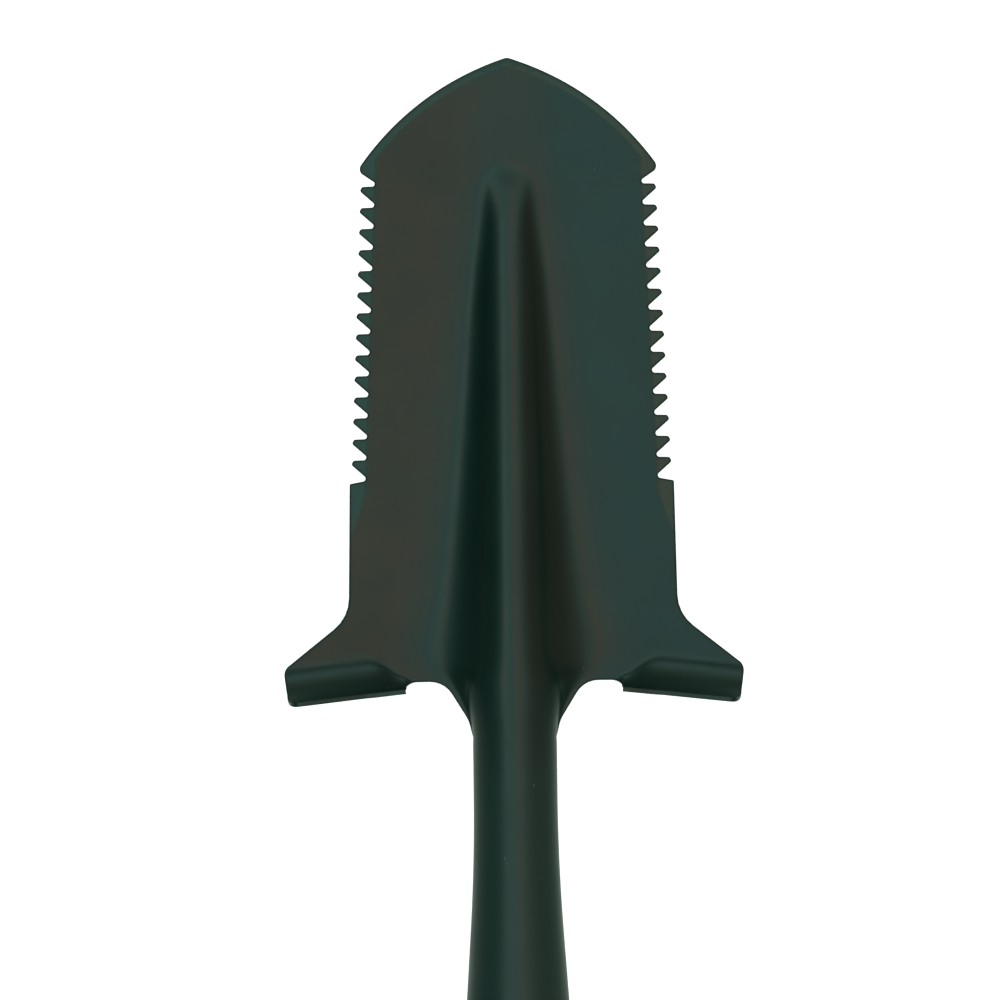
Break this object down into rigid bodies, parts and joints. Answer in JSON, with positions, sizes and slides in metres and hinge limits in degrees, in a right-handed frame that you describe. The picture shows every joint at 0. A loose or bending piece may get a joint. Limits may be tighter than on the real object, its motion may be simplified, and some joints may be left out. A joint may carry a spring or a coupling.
{
  "type": "detecting shovel",
  "caption": "Short digging shovel with a pointed double-saw-edged ribbed steel blade, forward-turned treads, tapered socket, ash shaft and a steel D handle.",
  "frame": {"origin": "on the surface the shovel lies on, under the middle of its length and width", "axes": "+Z out of the blade's front face, +Y along the shaft towards the blade's tip, +X to the right seen from the front with the tip up"},
  "size_m": [0.1608, 0.782, 0.0416],
  "materials": {
    "coated_steel": "satin dark green powder coat",
    "ash_wood": "clear satin varnish over ash",
    "zinc_steel": "zinc plated",
    "rubber": "moulded, matt",
    "nylon": "moulded black nylon"
  },
  "bodies": {
    "root": {"blade": "coated_steel", "socket_seam_weld": "coated_steel", "shaft": "ash_wood", "socket_rivets": "zinc_steel", "socket_rivet_washers": "zinc_steel", "yoke_left": "coated_steel", "yoke_right": "coated_steel", "yoke_rivets": "zinc_steel", "yoke_rivet_washers": "zinc_steel", "grip_tube": "zinc_steel", "grip_tube_plugs": "nylon", "hand_grip": "rubber", "grip_bolt": "zinc_steel", "grip_nut": "zinc_steel", "grip_washers": "zinc_steel"}
  },
  "joints": []
}
